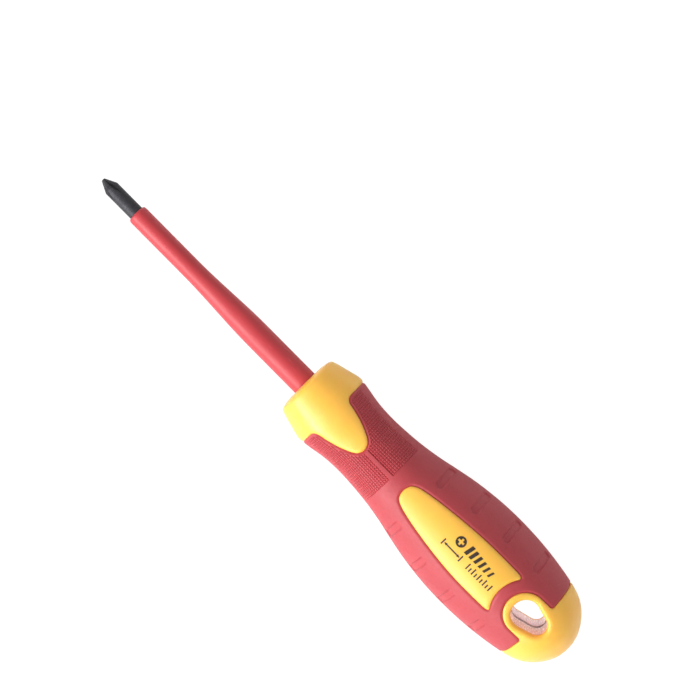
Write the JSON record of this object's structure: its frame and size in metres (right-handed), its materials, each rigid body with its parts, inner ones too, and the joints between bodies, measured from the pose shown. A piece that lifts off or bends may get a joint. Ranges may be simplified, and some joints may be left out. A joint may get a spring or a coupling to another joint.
{
  "type": "insulated screwdriver",
  "caption": "Insulated screwdriver: dark cross tip, red sleeved blade, yellow collar with tongues, waisted soft red grip with yellow panels, domed yellow tail with an egg-shaped hang hole.",
  "frame": {"origin": "centre of the blunt flat end of the cross tip, on the tool's axis", "axes": "+X along the tool from the tip to the tail, +Z out of the label face and along the hang hole, +Y across the handle"},
  "size_m": [0.1832, 0.0318, 0.0322],
  "materials": {
    "blade_steel": "black oxide on ground steel, satin",
    "red_insulation": "moulded insulating plastic, soft gloss",
    "clear_core": "translucent moulded plastic, faintly pink, glossy",
    "yellow_plastic": "hard moulded plastic, semi-gloss",
    "soft_red_grip": "soft moulded grip, matte, with a fine raised grid on the neck",
    "marking_ink": "thin black printed ink"
  },
  "bodies": {
    "root": {"blade": "blade_steel", "blade_insulation": "red_insulation", "handle_core": "clear_core", "front_collar": "yellow_plastic", "label_panel_front": "yellow_plastic", "label_panel_back": "yellow_plastic", "tail_cap": "yellow_plastic", "grip_sleeve": "soft_red_grip"}
  },
  "joints": []
}
